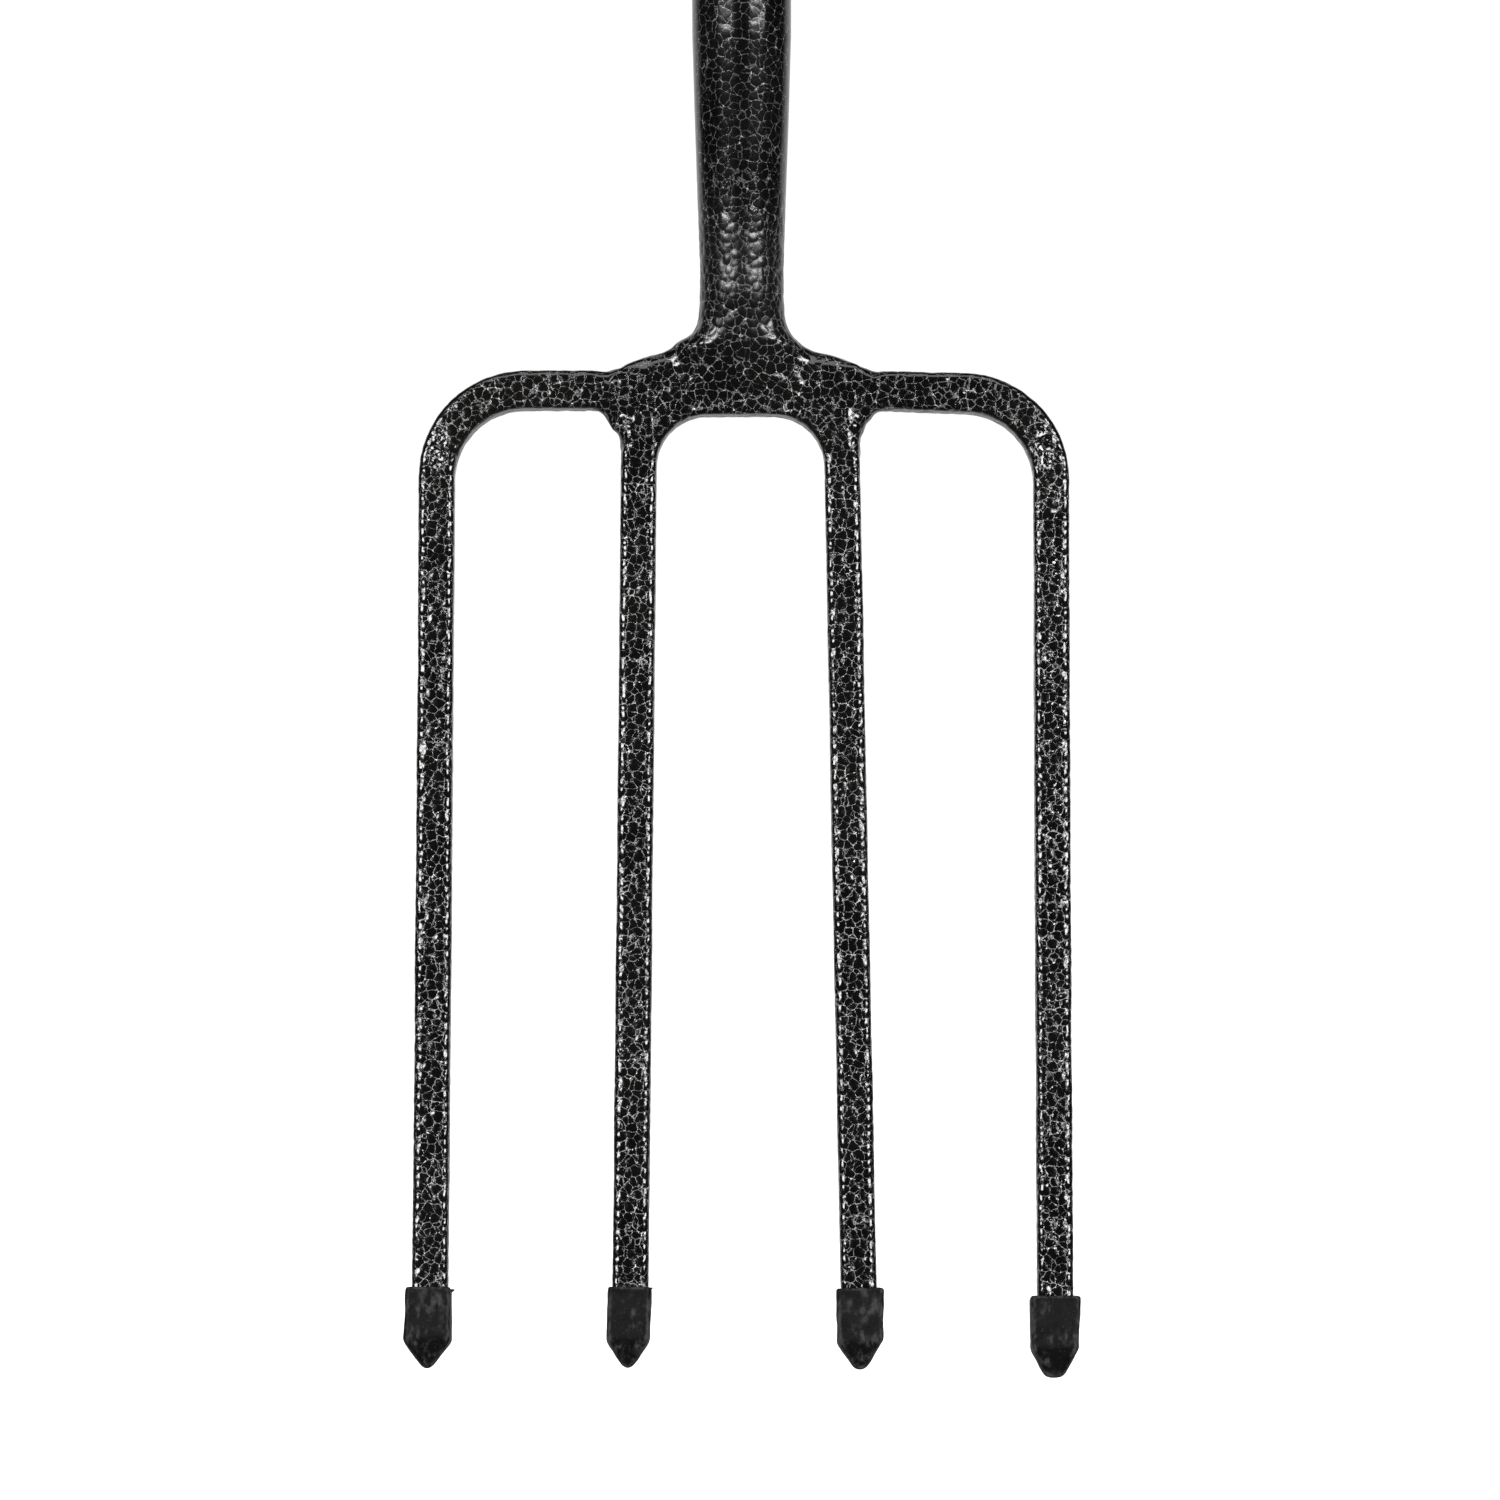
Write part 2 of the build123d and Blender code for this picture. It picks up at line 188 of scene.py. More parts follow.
# ---------------------------------------------------------------- hammer finish
CELL = 2.5 * MM  # middle to middle of the paint's pools
SMALL = 0.5  # a small pool's size over a big one's
RELIEF = 0.26 * MM  # how far a pool's middle would stand above a place one cell away
FINE_RELIEF = 0.18 * MM  # what the bump adds to that
GROOVE = 0.04 * MM  # how far the veins sink
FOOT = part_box("socket_weld")
TINE_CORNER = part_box("outer_right_tine")[1]  # the upper right corner of the outer right tine's box
ROUGH_BELOW = FOOT[1][2] + 22 * MM  # the paint lies in lumps on the tines and the boss
CALM_ABOVE = FOOT[1][2] + 45 * MM  # and smoother on the tube
CALM = 0.14  # the relief that is left there
THIN_VEIN = 0.012  # half widths, in cells
WIDE_VEIN = 0.042
COOL_BLACK = (0.0014, 0.0014, 0.0016, 1)
WARM_BLACK = (0.0028, 0.0026, 0.0023, 1)
BOSS_FLAKE = (0.115, 0.115, 0.118, 1)
TINE_FLAKE = (0.22, 0.22, 0.225, 1)
# the white of painted glints: at the vein junctions, on the outer bends and in the tines' specks
GLINT_FLAKE = (0.70, 0.70, 0.71, 1)
FLAKE_METAL = 0.35
FLAKE_ROUGHNESS = 0.38
HEAD_GLOSS = 0.13  # the black's roughness on the tines and the boss
FOOT_GLOSS = 0.27  # round the tube's foot
TUBE_GLOSS = 0.12  # and on the tube


def lumpiness(tree, place):
    """The paint's relief at a place, as a share of the tines'."""
    parts = tree.add("ShaderNodeSeparateXYZ")
    tree.join(place, parts.inputs[0])
    return tree.between(tree.ramp(parts.outputs["Z"], ROUGH_BELOW, CALM_ABOVE), 1.0, CALM)


def hammer_pattern(tree, place):
    """The paint's pools: a place bent out of true, the soft distance to a pool's middle, and its height."""
    stir = tree.noise(place, 1.1 * CELL, 1.5, colour=True)
    stir = tree.vector("SUBTRACT", stir, (0.5, 0.5, 0.5))
    bent = tree.vector("ADD", place, tree.vector("SCALE", stir, scale=0.8 * CELL))
    soft = tree.cells(bent, CELL, "SMOOTH_F1", 0.5)
    height = tree.math("SUBTRACT", 1.0, tree.math("MULTIPLY", soft, soft))
    return bent, soft, height


def painted_bend_glint(f):
    """1 on the outer bends of the outer tines, where a painted glint stands for the light the bend reflects,
    and 0 away from them.
    """
    bend = (TINE_CORNER[0] - 7 * MM, 0.0, TINE_CORNER[2] - 22 * MM)
    folded = f.vector("SUBTRACT", f.vector("ABSOLUTE", f.place), bend)
    away = f.add("ShaderNodeVectorMath", operation="LENGTH")
    f.join(f.vector("MULTIPLY", folded, (2.0, 0.0, 1.0)), away.inputs[0])
    return f.ramp(away.outputs["Value"], 9 * MM, 4 * MM)


def on_the_tines(f):
    """0 on the boss and 1 on the tines, where the veins are thinner and brighter."""
    return f.ramp(f.height, FOOT[0][2] - 22 * MM, FOOT[0][2] - 42 * MM)


def main_veins(f, bent, soft, edge, hollow):
    """The veins between the pools, beaded and broken, with silver in the hollows where they meet;
    hammer_finish colours that silver white as a painted glint.
    """
    on_tines = on_the_tines(f)
    round_off = f.math("MULTIPLY", f.ramp(soft, 0.38, 0.60), f.between(on_tines, 0.040, 0.028))
    width = f.between(f.ramp(f.noise(f.place, 0.5 * CELL, 1.0), 0.35, 0.65), THIN_VEIN, WIDE_VEIN)
    width = f.math("MULTIPLY", width, f.between(on_tines, 1.0, 0.84))
    line = f.ramp(f.math("SUBTRACT", edge, round_off), width, -0.004)
    beads = f.ramp(f.noise(f.place, 0.2 * CELL, 1.0, 0.5), 0.38, 0.62)
    line = f.math("MULTIPLY", line, f.between(beads, 0.10, 1.0))
    vein = f.math("MAXIMUM", line, f.math("MULTIPLY", hollow, beads))
    small_edge = f.cells(bent, SMALL * CELL, "DISTANCE_TO_EDGE")
    patch = f.ramp(f.noise(f.place, 1.6 * CELL, 0.0), 0.54, 0.66)
    beside = f.math("MULTIPLY", f.ramp(edge, 0.30, 0.1), patch)
    small_vein = f.math("MULTIPLY", f.ramp(small_edge, 0.06, 0.0), f.math("MULTIPLY", beside, beads))
    return f.math("MAXIMUM", vein, f.math("MULTIPLY", small_vein, 0.45))


def painted_glint_specks(f, edge):
    """Painted glints: bright dots in the tines' veins, with a few more on the outer right tine."""
    outer_right = f.ramp(f.across, TINE_CORNER[0] - 12 * MM, TINE_CORNER[0] - 8 * MM)
    speck = f.math("ADD", f.noise(f.place, 0.32 * CELL, 1.0), f.math("MULTIPLY", outer_right, 0.035))
    in_veins = f.math("MULTIPLY", on_the_tines(f), f.ramp(edge, 0.2, 0.08))
    return f.math("MULTIPLY", f.ramp(speck, 0.69, 0.78), in_veins)


def hammer_finish():
    """Black gloss pools, ringed by sunken veins of silver flake, with painted glints at the vein junctions,
    on the outer bends and as specks, and painted shade that takes the veins off rounded edges.
    """
    f = Finish("hammer_finish")
    bent, soft, height = hammer_pattern(f, f.place)
    edge = f.cells(bent, CELL, "DISTANCE_TO_EDGE")
    hollow = f.ramp(f.math("SUBTRACT", f.cells(bent, CELL, "F1"), soft), 0.080, 0.108)
    # painted glints: white on the outer bends of the outer tines, and as specks in the tines' veins
    painted_glints = f.math("MULTIPLY", painted_bend_glint(f), f.ramp(f.noise(f.place, 0.4 * CELL, 2.0), 0.50, 0.66))
    painted_glints = f.math("MAXIMUM", painted_glints, painted_glint_specks(f, edge))
    both = f.math("MAXIMUM", main_veins(f, bent, soft, edge, hollow), painted_glints)
    # painted shade: the veins are painted out on rounded edges, which turn away from the lamps
    crest = f.add("ShaderNodeAttribute", attribute_name=CREST).outputs["Fac"]
    both = f.math("MULTIPLY", both, f.math("SUBTRACT", 1.0, crest))
    thin = f.ramp(f.noise(f.place, 2.5 * CELL, 1.0), 0.32, 0.62)
    silver = f.math("MULTIPLY", both, f.between(thin, 0.6, 1.0))
    on_tube = f.ramp(f.height, FOOT[0][2], FOOT[1][2] + 30 * MM)
    silver = f.math("MULTIPLY", silver, f.between(on_tube, 1.0, 0.5))
    tint = f.ramp(f.noise(f.place, 12 * CELL, 1.0), 0.35, 0.65)
    black = f.colour(tint, COOL_BLACK, WARM_BLACK)
    flake = f.colour(on_the_tines(f), BOSS_FLAKE, TINE_FLAKE)
    # painted glints: the vein junctions, the outer bends and the specks take the glint white
    flake = f.colour(f.math("MAXIMUM", hollow, painted_glints), flake, GLINT_FLAKE)
    f.set("Base Color", f.colour(silver, black, flake))
    f.set("Metallic", f.math("MULTIPLY", silver, FLAKE_METAL))
    on_foot = f.ramp(f.height, FOOT[0][2] - 2 * MM, FOOT[1][2] + 6 * MM)
    past_foot = f.ramp(f.height, FOOT[1][2] + 20 * MM, FOOT[1][2] + 44 * MM)
    gloss = f.between(past_foot, f.between(on_foot, HEAD_GLOSS, FOOT_GLOSS), TUBE_GLOSS)
    f.set("Roughness", f.between(silver, gloss, FLAKE_ROUGHNESS))
    f.shader.inputs["IOR"].default_value = 1.5
    fine = f.math("MULTIPLY_ADD", both, -GROOVE / FINE_RELIEF, height)
    fine = f.math("MULTIPLY", fine, lumpiness(f, f.place))
    f.set("Normal", f.bump(fine, FINE_RELIEF))
    return f.material


def relief_modifier(obj, depth):
    """Raises the paint's pools on a mesh, by the same pattern as the material's."""
    group = bpy.data.node_groups.new("hammer_relief", "GeometryNodeTree")
    group.interface.new_socket("Geometry", in_out="INPUT", socket_type="NodeSocketGeometry")
    group.interface.new_socket("Geometry", in_out="OUTPUT", socket_type="NodeSocketGeometry")
    t = Tree(group)
    given = t.add("NodeGroupInput")
    made = t.add("NodeGroupOutput")
    place = t.add("GeometryNodeInputPosition").outputs[0]
    normal = t.add("GeometryNodeInputNormal").outputs[0]
    height = hammer_pattern(t, place)[2]
    move = t.add("GeometryNodeSetPosition")
    t.join(given.outputs[0], move.inputs["Geometry"])
    lift = t.math("MULTIPLY", t.math("MULTIPLY_ADD", height, depth, -depth), lumpiness(t, place))
    t.join(t.vector("SCALE", normal, scale=lift), move.inputs["Offset"])
    t.join(move.outputs["Geometry"], made.inputs[0])
    modifier = obj.modifiers.new("hammer_relief", "NODES")
    modifier.node_group = group


# ---------------------------------------------------------------- mesh helpers
def joined(names):
    """One mesh that holds copies of CAD nodes."""
    mesh = bpy.data.meshes.new("joined")
    b = bmesh.new()
    for name in names:
        b.from_mesh(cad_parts[name].data)
    b.to_mesh(mesh)
    b.free()
    return mesh


def applied(obj):
    """The object's mesh with its modifiers applied. The object goes."""
    graph = bpy.context.evaluated_depsgraph_get()
    mesh = bpy.data.meshes.new_from_object(obj.evaluated_get(graph), depsgraph=graph)
    bpy.data.objects.remove(obj)
    return mesh


def as_object(mesh, name="work"):
    obj = bpy.data.objects.new(name, mesh)
    scene.collection.objects.link(obj)
    return obj


def skin_of(names, step):
    """One even skin of quads, step across, round the outside of CAD nodes."""
    obj = as_object(joined(names))
    modifier = obj.modifiers.new("skin", "REMESH")
    modifier.mode = "VOXEL"
    modifier.voxel_size = step
    return applied(obj)


def read(mesh):
    """The mesh's places and normals, a row for each point."""
    places = np.empty(3 * len(mesh.vertices))
    mesh.vertices.foreach_get("co", places)
    normals = np.empty(3 * len(mesh.vertices))
    mesh.vertex_normals.foreach_get("vector", normals)
    return places.reshape(-1, 3), normals.reshape(-1, 3)


def write(mesh, places):
    mesh.vertices.foreach_set("co", places.ravel())
    mesh.update()


def step_up(value, low, high):
    """0 up to low and 1 from high, smooth between."""
    t = np.clip((value - low) / (high - low), 0, 1)
    return t * t * (3 - 2 * t)


def melt(mesh, weight, turns):
    """Draws points towards their neighbours, as weld metal and thick paint settle."""
    places = read(mesh)[0]
    edges = np.empty(2 * len(mesh.edges), np.int32)
    mesh.edges.foreach_get("vertices", edges)
    edges = edges.reshape(-1, 2)
    inside = (weight[edges] > 0).any(axis=1)
    a, b = edges[inside].T
    size = len(places)
    count = np.maximum(np.bincount(a, minlength=size) + np.bincount(b, minlength=size), 1)
    strength = np.where(weight > 0, weight, 0)
    for _ in range(turns):
        for axis in range(3):
            column = places[:, axis]
            total = np.bincount(a, column[b], size) + np.bincount(b, column[a], size)
            column += strength * (total / count - column)
    write(mesh, places)


def crests(mesh, gentle, sharp, turns=3):
    """0 where a surface bends no more than gentle, and 1 where it is as convex as sharp, per metre."""
    places, normals = read(mesh)
    edges = np.empty(2 * len(mesh.edges), np.int32)
    mesh.edges.foreach_get("vertices", edges)
    a, b = edges.reshape(-1, 2).T
    size = len(places)
    count = np.maximum(np.bincount(a, minlength=size) + np.bincount(b, minlength=size), 1)
    step = places[b] - places[a]
    square = (step ** 2).sum(axis=1)
    rise_a, rise_b = (step * normals[a]).sum(axis=1), -(step * normals[b]).sum(axis=1)
    bend = -4 * (np.bincount(a, rise_a, size) + np.bincount(b, rise_b, size))
    bend /= np.bincount(a, square, size) + np.bincount(b, square, size) + 1e-12
    for _ in range(turns):
        bend = 0.5 * bend + 0.5 * (np.bincount(a, bend[b], size) + np.bincount(b, bend[a], size)) / count
    return step_up(bend, gentle, sharp)


def mark_crests(mesh, gentle, sharp):
    """Keeps crests() on the mesh, where the materials find it."""
    mesh.attributes.new(CREST, "FLOAT", "POINT").data.foreach_set("value", crests(mesh, gentle, sharp))


def waves(places, size, seed, terms=10):
    """Slow unevenness between about -1 and 1, whose swells are about size long."""
    draw = np.random.default_rng(seed)
    total = np.zeros(len(places))
    for _ in range(terms):
        way = draw.normal(size=3)
        way *= 2 * math.pi / (size * draw.uniform(0.7, 1.6) * np.linalg.norm(way))
        total += np.sin(places @ way + draw.uniform(0, 2 * math.pi))
    return total / math.sqrt(2 * terms)


def paint(material, *names):
    for name in names:
        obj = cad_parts[name]
        obj.data.materials.clear()
        obj.data.materials.append(material)


# ---------------------------------------------------------------- painted steel
ARM_WELDS = ("left_arm_weld", "right_arm_weld")
STEEL = ("yoke", "outer_left_tine", "outer_right_tine", "socket", "socket_weld", *ARM_WELDS)
SKIN_STEP = 0.62 * MM
CREST = "crest"  # the mesh attribute that says how convex the surface is: there painted shade darkens the steel's veins, and the guards' edges are lightened by wear and a painted sheen
WHOLE_NORMAL = "whole_normal"  # and the one that keeps the whole skin's shading on its cut pieces
ARM_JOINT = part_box("outer_right_tine")[0][0]  # how far from the middle the outer tines meet the arms
PAST_INNER_TINES = 60 * MM
SOCKET_CUT = FOOT[1][2] + 12.5 * MM  # above the weld, where the tube is plain
ARM_BELOW = FOOT[0][2] - 38 * MM  # the arms are above this, and only tines and guards below it
SWELL = 0.08 * MM  # the forging's slow unevenness
WELD_LUMPS = 0.10 * MM
ARM_WELD_LUMPS = 0.35 * MM
SHOULDER_LUMP = 1.7 * MM  # of weld, on the left of the foot
SHOULDER_LUMP_SIZE = (4.5 * MM, 9 * MM, 3 * MM)
MELT = 0.9  # how far a point of weld metal goes towards its neighbours' middle at each turn
WELD_TURNS = 26
FOOT_TURNS = 60
VEIN_SHADE_BENDS = (330, 520)  # the bend, per metre, where painted shade starts to darken the veins on rounded edges and where it hides them fully


def weld_metal(places):
    """How far each point lies in weld metal, from 0 to 1: at the tube's foot, on the arms, and anywhere."""
    x, _, z = places.T
    foot = step_up(z, FOOT[0][2] - 12 * MM, FOOT[0][2]) * step_up(z, FOOT[1][2] + 16 * MM, FOOT[1][2])
    foot *= step_up(np.abs(x), 34 * MM, 22 * MM)
    anywhere = foot
    for name in ARM_WELDS:
        low, high = (np.array(v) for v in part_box(name))
        away = np.linalg.norm(np.maximum(np.maximum(low - places, places - high), 0), axis=1)
        anywhere = np.maximum(anywhere, step_up(away, 5 * MM, 1 * MM))
    joint = step_up(np.abs(np.abs(x) - ARM_JOINT), 5 * MM, 1 * MM)
    joint *= step_up(z, ARM_BELOW, ARM_BELOW + 6 * MM)
    anywhere = np.maximum(anywhere, 0.8 * joint)
    return foot, anywhere * step_up(np.abs(x), 24 * MM, 30 * MM), anywhere


def forging_swell(places):
    """The forging's unevenness. Under the guards it goes only inwards, so that they still fit."""
    swell = SWELL * waves(places, 25 * MM, 3)
    guarded = step_up(places[:, 2], 36 * MM, 30 * MM)
    return swell - guarded * np.maximum(swell, 0)


def weld_lumps(places, on_arms, anywhere):
    """How far the weld metal stands up in lumps."""
    lumps = WELD_LUMPS * anywhere * waves(places, 8 * MM, 5)
    lumps += ARM_WELD_LUMPS * on_arms * waves(places, 5 * MM, 9)
    shoulder = (FOOT[0][0] + 1.5 * MM, (FOOT[0][1] + FOOT[1][1]) / 2, FOOT[1][2] - 4.5 * MM)
    away = (places - np.array(shoulder)) / np.array(SHOULDER_LUMP_SIZE)
    return lumps + SHOULDER_LUMP * np.exp(-(away ** 2).sum(axis=1))


def steel_skin():
    """All the painted steel as one skin, since the paint runs over the welds."""
    mesh = skin_of(STEEL, SKIN_STEP)
    at_foot, on_arms, anywhere = weld_metal(read(mesh)[0])
    melt(mesh, MELT * anywhere, WELD_TURNS)
    melt(mesh, MELT * at_foot, FOOT_TURNS)
    places, normals = read(mesh)
    lift = forging_swell(places) + weld_lumps(places, on_arms, anywhere)
    write(mesh, places + normals * lift[:, None])
    mark_crests(mesh, *VEIN_SHADE_BENDS)
    obj = as_object(mesh)
    relief_modifier(obj, RELIEF)
    return applied(obj)


def cut_through(b, point, normal, near):
    """Cuts the faces that near() takes along a plane."""
    faces = [face for face in b.faces if near(face.calc_center_median())]
    geometry = {item for face in faces for item in (face, *face.edges, *face.verts)}
    bmesh.ops.bisect_plane(b, geom=list(geometry), dist=1e-7, plane_co=point, plane_no=normal)


def in_arm(side):
    return lambda c: side * c.x > 0 and c.z > ARM_BELOW


def outer_side(c):
    """-1 in the left outer tine, 1 in the right one and 0 elsewhere."""
    outside = abs(c.x) > PAST_INNER_TINES or (abs(c.x) > ARM_JOINT and c.z > ARM_BELOW)
    return math.copysign(1, c.x) if outside else 0


STEEL_PIECES = {
    "yoke_skin": (("yoke", "socket_weld", *ARM_WELDS), lambda c: outer_side(c) == 0 and c.z < SOCKET_CUT),
    "outer_left_tine_skin": (("outer_left_tine",), lambda c: outer_side(c) == -1),
    "outer_right_tine_skin": (("outer_right_tine",), lambda c: outer_side(c) == 1),
    "socket_skin": (("socket",), lambda c: c.z > SOCKET_CUT),
}
STEEL_CUTS = (
    (Vector((ARM_JOINT, 0, 0)), Vector((1, 0, 0)), in_arm(1)),
    (Vector((-ARM_JOINT, 0, 0)), Vector((1, 0, 0)), in_arm(-1)),
    (Vector((0, 0, SOCKET_CUT)), Vector((0, 0, 1)), lambda c: abs(c.z - SOCKET_CUT) < 5 * MM),
)


def lies_on(edge, point, normal):
    """True where both ends of an edge are on a plane."""
    return all(abs((v.co - point).dot(normal)) < 1e-6 for v in edge.verts)


def steel_piece(skin, name, keep, material):
    """The part of the skin whose faces keep() takes, closed at its cuts and shaded as the whole is."""
    b = bmesh.new()
    b.from_mesh(skin)
    bmesh.ops.delete(b, geom=[f for f in b.faces if not keep(f.calc_center_median())], context="FACES")
    for point, normal, _ in STEEL_CUTS:
        rim = [e for e in b.edges if e.is_boundary and lies_on(e, point, normal)]
        if rim:
            bmesh.ops.triangle_fill(b, edges=rim, use_beauty=True, normal=normal)
    bmesh.ops.recalc_face_normals(b, faces=b.faces)
    mesh = bpy.data.meshes.new(name)
    b.to_mesh(mesh)
    b.free()
    mesh.materials.clear()
    mesh.materials.append(material)
    mesh.shade_smooth()
    normals = np.empty(3 * len(mesh.vertices))
    mesh.attributes[WHOLE_NORMAL].data.foreach_get("vector", normals)
    mesh.normals_split_custom_set_from_vertices(normals.reshape(-1, 3))
    return as_object(mesh, name)


def make_steel():
    material = hammer_finish()
    b = bmesh.new()
    b.from_mesh(steel_skin())
    for point, normal, near in STEEL_CUTS:
        cut_through(b, point, normal, near)
    skin = bpy.data.meshes.new("skin")
    b.to_mesh(skin)
    b.free()
    skin.shade_smooth()
    normals = read(skin)[1]
    skin.attributes.new(WHOLE_NORMAL, "FLOAT_VECTOR", "POINT").data.foreach_set("vector", normals.ravel())
    for name, (replaced, keep) in STEEL_PIECES.items():
        piece = steel_piece(skin, name, keep, material)
        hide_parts(*replaced)
        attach(piece, "fork")


# ---------------------------------------------------------------- tip guards
GUARD_STEP = 0.34 * MM
GUARDS = ("outer_left_guard", "inner_left_guard", "inner_right_guard", "outer_right_guard")
SAG = 0.16 * MM  # how far the faces wander
FINE_SAG = 0.05 * MM
WRINKLE = 0.05 * MM  # the depth of the wrinkles in a band round the middle
RIM_WAVE = 0.22 * MM
TIP_TURNS = 45  # of melting, to round the tip
RUBBED_AND_SHEEN_EDGES = (250, 700)  # the bend, per metre, where an edge starts to look worn and to carry a painted sheen, and where it fully does


def guard_rubber():
    """Matt moulded rubber, dusty, with scuffed patches, edges lighter from wear and from a painted sheen,
    and a fine grain.
    """
    f = Finish("guard_rubber")
    cloud = f.noise(f.place, 5 * MM, 4.0, 0.6)
    streak = f.noise(f.vector("MULTIPLY", f.place, (1, 1, 0.35)), 1.6 * MM, 3.0, 0.6)
    grain = f.noise(f.place, 0.35 * MM, 2.0, 0.6)
    scuff = f.math("MULTIPLY", f.ramp(cloud, 0.48, 0.7), f.ramp(streak, 0.4, 0.62))
    crest = f.add("ShaderNodeAttribute", attribute_name=CREST).outputs["Fac"]
    # partly wear and partly a painted sheen: convex edges are lightened as if they caught the light
    rubbed_and_sheen = f.math("MULTIPLY", crest, f.ramp(streak, 0.38, 0.6))
    dust = f.ramp(f.noise(f.place, 0.5 * MM, 1.0), 0.66, 0.74)
    light = f.math("MAXIMUM", scuff, f.math("MULTIPLY", rubbed_and_sheen, 0.9))
    light = f.math("MAXIMUM", light, f.math("MULTIPLY", dust, 0.5))
    f.set("Base Color", f.colour(light, (0.0022, 0.0022, 0.0024, 1), (0.030, 0.030, 0.0305, 1)))
    f.set("Roughness", f.between(light, 0.50, 0.70))
    f.shader.inputs["Specular IOR Level"].default_value = 0.10
    f.set("Normal", f.bump(grain, 0.035 * MM, f.bump(streak, 0.12 * MM)))
    return f.material


# How far each tab of flash reaches out, and how far it starts below the rim.
FLASH = {"outer_left_guard": (1.2 * MM, 1.6 * MM), "inner_left_guard": (2.2 * MM, 0.5 * MM)}


def uneven_guard(places, normals, share, shell, seed):
    """A guard's places, with uneven faces, a band of fine wrinkles and a wavy rim."""
    sag = SAG * waves(places, 9 * MM, seed) + FINE_SAG * waves(places, 3 * MM, seed + 1)
    wrinkle = WRINKLE * waves(places * (0.4, 1, 1), 1.3 * MM, seed + 2)
    wrinkle *= step_up(np.abs(share - 0.6), 0.14, 0.02)
    wrinkle *= step_up(waves(places, 8 * MM, seed + 4), 0.2, 0.8)
    rim = RIM_WAVE * waves(places, 6 * MM, seed + 3) * step_up(share, 0.86, 1.0)
    moved = places + normals * (shell * (sag + wrinkle))[:, None]
    moved[:, 2] += np.minimum(rim, 0)
    return moved


def with_flash(places, corner, reach):
    """The places, with those near a corner drawn out into a torn tab."""
    near = np.linalg.norm((places - corner) / (1.3 * MM, 2.4 * MM, 0.9 * MM), axis=1)
    return places + (reach * step_up(near, 1, 0) ** 1.3)[:, None] * np.array((1.0, 0.0, 0.3))


def guard_mesh(name, seed):
    """A guard as its mould left it. share is 0 at its tip and 1 at its rim."""
    low, high = (np.array(v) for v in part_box(name))
    middle, half = (low + high) / 2, (high - low) / 2
    mesh = skin_of((name,), GUARD_STEP)
    places, normals = read(mesh)
    share = (places[:, 2] - low[2]) / (high[2] - low[2])
    outside = ((places - middle) * normals / half).sum(axis=1) > 0
    melt(mesh, 0.5 * outside, 4)
    melt(mesh, MELT * outside * step_up(share, 0.42, 0.15), TIP_TURNS)
    places, normals = read(mesh)
    share = (places[:, 2] - low[2]) / (high[2] - low[2])
    shell = outside * step_up(share, 1.0, 0.9)
    moved = np.clip(uneven_guard(places, normals, share, shell, seed), low, high)
    if name in FLASH:
        reach, drop = FLASH[name]
        moved = with_flash(moved, np.array((high[0], middle[1], high[2] - drop)), reach)
    write(mesh, moved)
    mark_crests(mesh, *RUBBED_AND_SHEEN_EDGES)
    return mesh


def make_guard(name, seed, material):
    """Puts a moulded guard in its CAD node's place."""
    mesh = guard_mesh(name, seed)
    mesh.materials.clear()
    mesh.materials.append(material)
    mesh.shade_smooth()
    piece = as_object(mesh, name + "_moulding")
    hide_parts(name)
    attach(piece, name.replace("guard", "cap"))


# ---------------------------------------------------------------- shaft and rivet
def ash_wood():
    """Ash: growth rings cut lengthwise, open pores, a few dark streaks, and worn varnish."""
    f = Finish("ash_wood")
    heart = f.vector("ADD", f.place, (0.021, 0.006, 0.0))
    wander = f.vector("SUBTRACT", f.noise(f.place, 0.16, 2.0, colour=True), (0.5, 0.5, 0.5))
    bent = f.vector("ADD", heart, f.vector("SCALE", wander, scale=0.014))
    flat = f.vector("MULTIPLY", bent, (1, 1, 0.012))
    distance = f.add("ShaderNodeVectorMath", operation="LENGTH")
    f.join(flat, distance.inputs[0])
    ring = f.math("FRACT", f.math("DIVIDE", distance.outputs["Value"], 2.3 * MM))
    late = f.math("MULTIPLY", f.ramp(ring, 0.45, 0.92), f.ramp(ring, 1.0, 0.93))
    early = f.math("MULTIPLY", f.ramp(ring, 0.30, 0.12), f.ramp(ring, 0.0, 0.05))
    along = f.vector("MULTIPLY", f.place, (1, 1, 0.03))
    pores = f.ramp(f.noise(along, 0.30 * MM, 2.0, 0.65), 0.56, 0.66)
    pores = f.math("MULTIPLY", pores, f.between(early, 0.25, 1.0))
    fibre = f.noise(along, 0.8 * MM, 4.0, 0.6)
    patch = f.noise(f.vector("MULTIPLY", f.place, (1, 1, 0.15)), 14 * MM, 3.0)
    base = f.colour(f.ramp(fibre, 0.3, 0.7), (0.29, 0.17, 0.076, 1), (0.44, 0.29, 0.15, 1))
    base = f.colour(f.math("MULTIPLY", late, 0.6), base, (0.20, 0.10, 0.038, 1))
    base = f.colour(f.math("MULTIPLY", pores, 0.75), base, (0.12, 0.055, 0.022, 1))
    base = f.colour(f.math("MULTIPLY", f.ramp(patch, 0.5, 0.8), 0.35), base, (0.28, 0.16, 0.075, 1))
    hand = f.ramp(f.noise(f.place, 60 * MM, 2.0), 0.45, 0.65)
    f.set("Base Color", base)
    f.set("Roughness", f.between(f.math("MULTIPLY", hand, f.ramp(fibre, 0.2, 0.8)), 0.34, 0.55))
    f.shader.inputs["Coat Weight"].default_value = 0.12
    f.shader.inputs["Coat Roughness"].default_value = 0.3
    relief = f.math("SUBTRACT", f.math("MULTIPLY", late, 0.35), pores)
    f.set("Normal", f.bump(relief, 0.07 * MM))
    return f.material


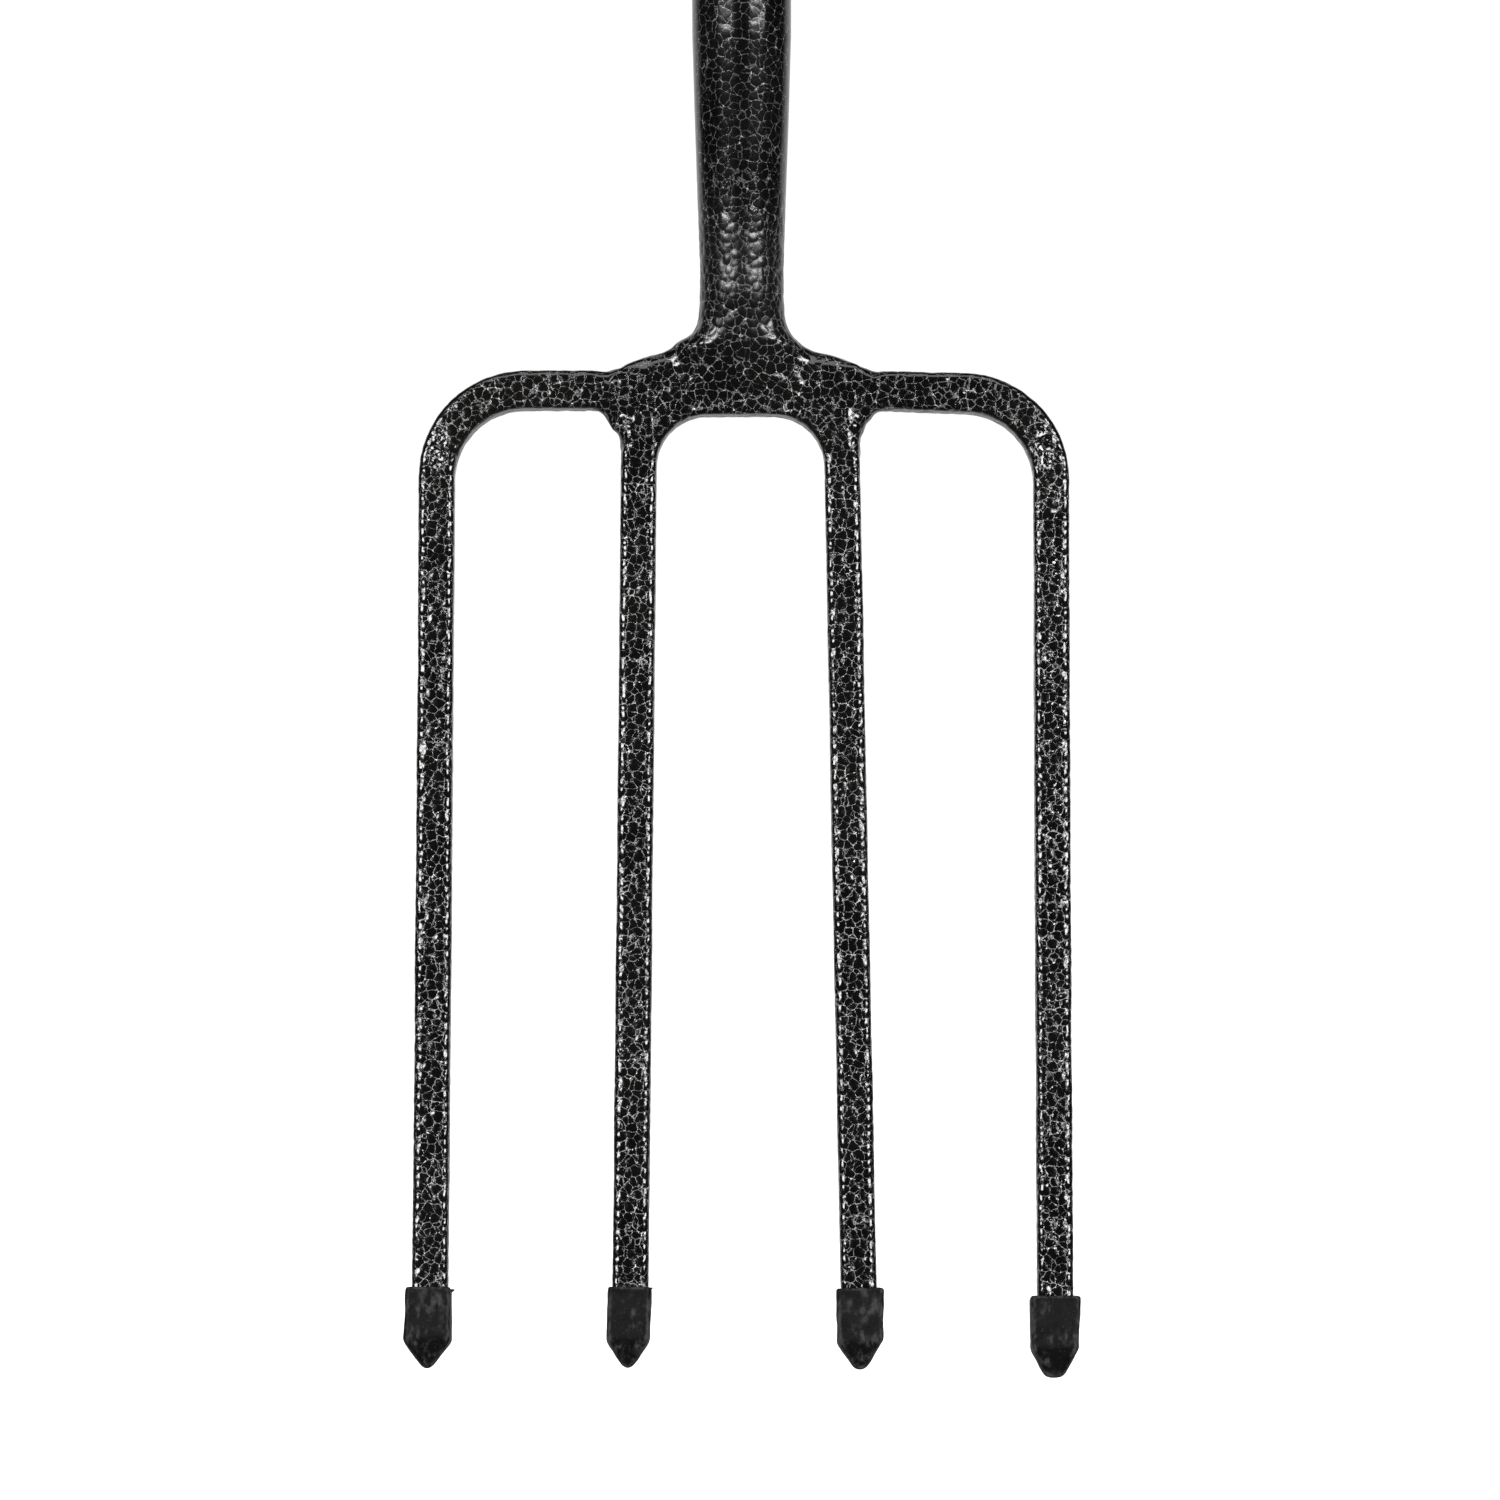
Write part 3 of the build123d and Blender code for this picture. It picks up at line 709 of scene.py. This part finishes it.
def rivet_steel():
    """Bare steel, peened flat by a hammer, with a little rust in its hollows."""
    f = Finish("rivet_steel")
    dents = f.cells(f.place, 1.8 * MM, "SMOOTH_F1", 0.6)
    scratch = f.noise(f.vector("MULTIPLY", f.place, (1, 0.3, 1)), 0.25 * MM, 3.0, 0.7)
    rust = f.ramp(f.noise(f.place, 1.5 * MM, 4.0, 0.6), 0.52, 0.68)
    f.set("Base Color", f.colour(rust, (0.42, 0.41, 0.39, 1), (0.14, 0.065, 0.03, 1)))
    f.set("Metallic", f.between(rust, 1.0, 0.2))
    f.set("Roughness", f.between(f.math("MAXIMUM", rust, f.math("MULTIPLY", scratch, 0.4)), 0.3, 0.75))
    f.set("Normal", f.bump(scratch, 0.02 * MM, f.bump(f.math("MULTIPLY", dents, -1.0), 0.25 * MM)))
    return f.material


make_steel()
rubber = guard_rubber()
for number, guard in enumerate(GUARDS):
    make_guard(guard, 20 + 10 * number, rubber)
paint(ash_wood(), "shaft")
paint(rivet_steel(), "rivet")


# ---------------------------------------------------------------- studio
FLOOR = -0.034  # low enough for the guards to slide off their tines
FLOOR_REACH = 40.0
LIGHTS_AIM = (0, 0, 0.2)
LIGHT_DISTANCE = 2.4
LIGHTS = {  # azimuth and elevation in degrees, width and height, and watts
    "top_front": (0, 55, (2.0, 1.0), 22),
    "side_left": (-37, 18, (1.3, 0.42), 46),
    "side_right": (37, 18, (1.3, 0.42), 46),
}


def make_floor():
    """A pale floor that runs out to the horizon, where it meets an equally pale world."""
    mesh = bpy.data.meshes.new("floor")
    b = bmesh.new()
    bmesh.ops.create_grid(b, x_segments=24, y_segments=24, size=FLOOR_REACH)
    b.to_mesh(mesh)
    b.free()
    obj = bpy.data.objects.new("floor", mesh)
    obj.location.z = FLOOR
    obj.visible_glossy = False
    scene.collection.objects.link(obj)
    f = Finish("floor_paper")
    fibre = f.noise(f.place, 3 * MM, 3.0)
    f.set("Base Color", f.colour(fibre, grey(0.86), grey(0.90)))
    f.shader.inputs["Roughness"].default_value = 0.9
    f.shader.inputs["Emission Color"].default_value = (1, 1, 1, 1)
    f.shader.inputs["Emission Strength"].default_value = 1.0
    f.set("Normal", f.bump(fibre, 0.2 * MM))
    mesh.materials.append(f.material)


def make_world():
    """White to look at. As light, it is bright behind the fork and dim in front of it."""
    world = bpy.data.worlds.new("studio")
    scene.world = world
    world.use_nodes = True
    t = Tree(world.node_tree)
    back = world.node_tree.nodes["Background"]
    way = t.add("ShaderNodeTexCoord").outputs["Generated"]
    parts = t.add("ShaderNodeSeparateXYZ")
    t.join(way, parts.inputs[0])
    behind = t.ramp(parts.outputs["Y"], 0.35, 0.75)
    above = t.ramp(parts.outputs["Z"], -0.02, 0.01)
    below = t.between(t.ramp(parts.outputs["Y"], 0.0, 0.6), 0.04, 0.6)
    light = t.between(above, below, t.between(behind, 0.015, 0.85))
    seen = t.add("ShaderNodeLightPath").outputs["Is Camera Ray"]
    t.feed(back.inputs["Color"], (1, 1, 1, 1))
    t.feed(back.inputs["Strength"], t.between(seen, light, 1.05))


def area_light(name, azimuth, elevation, size, power):
    """A soft box, aimed at the fork's head. The azimuth is 0 in front and grows to the right."""
    data = bpy.data.lights.new(name, "AREA")
    data.shape = "RECTANGLE"
    data.size, data.size_y = size
    data.energy = power
    obj = bpy.data.objects.new(name, data)
    a, e = math.radians(azimuth), math.radians(elevation)
    out = Vector((math.sin(a) * math.cos(e), -math.cos(a) * math.cos(e), math.sin(e)))
    obj.location = Vector(LIGHTS_AIM) + LIGHT_DISTANCE * out
    obj.rotation_euler = out.to_track_quat("Z", "Y").to_euler()
    scene.collection.objects.link(obj)


make_floor()
make_world()
for name, values in LIGHTS.items():
    area_light(name, *values)
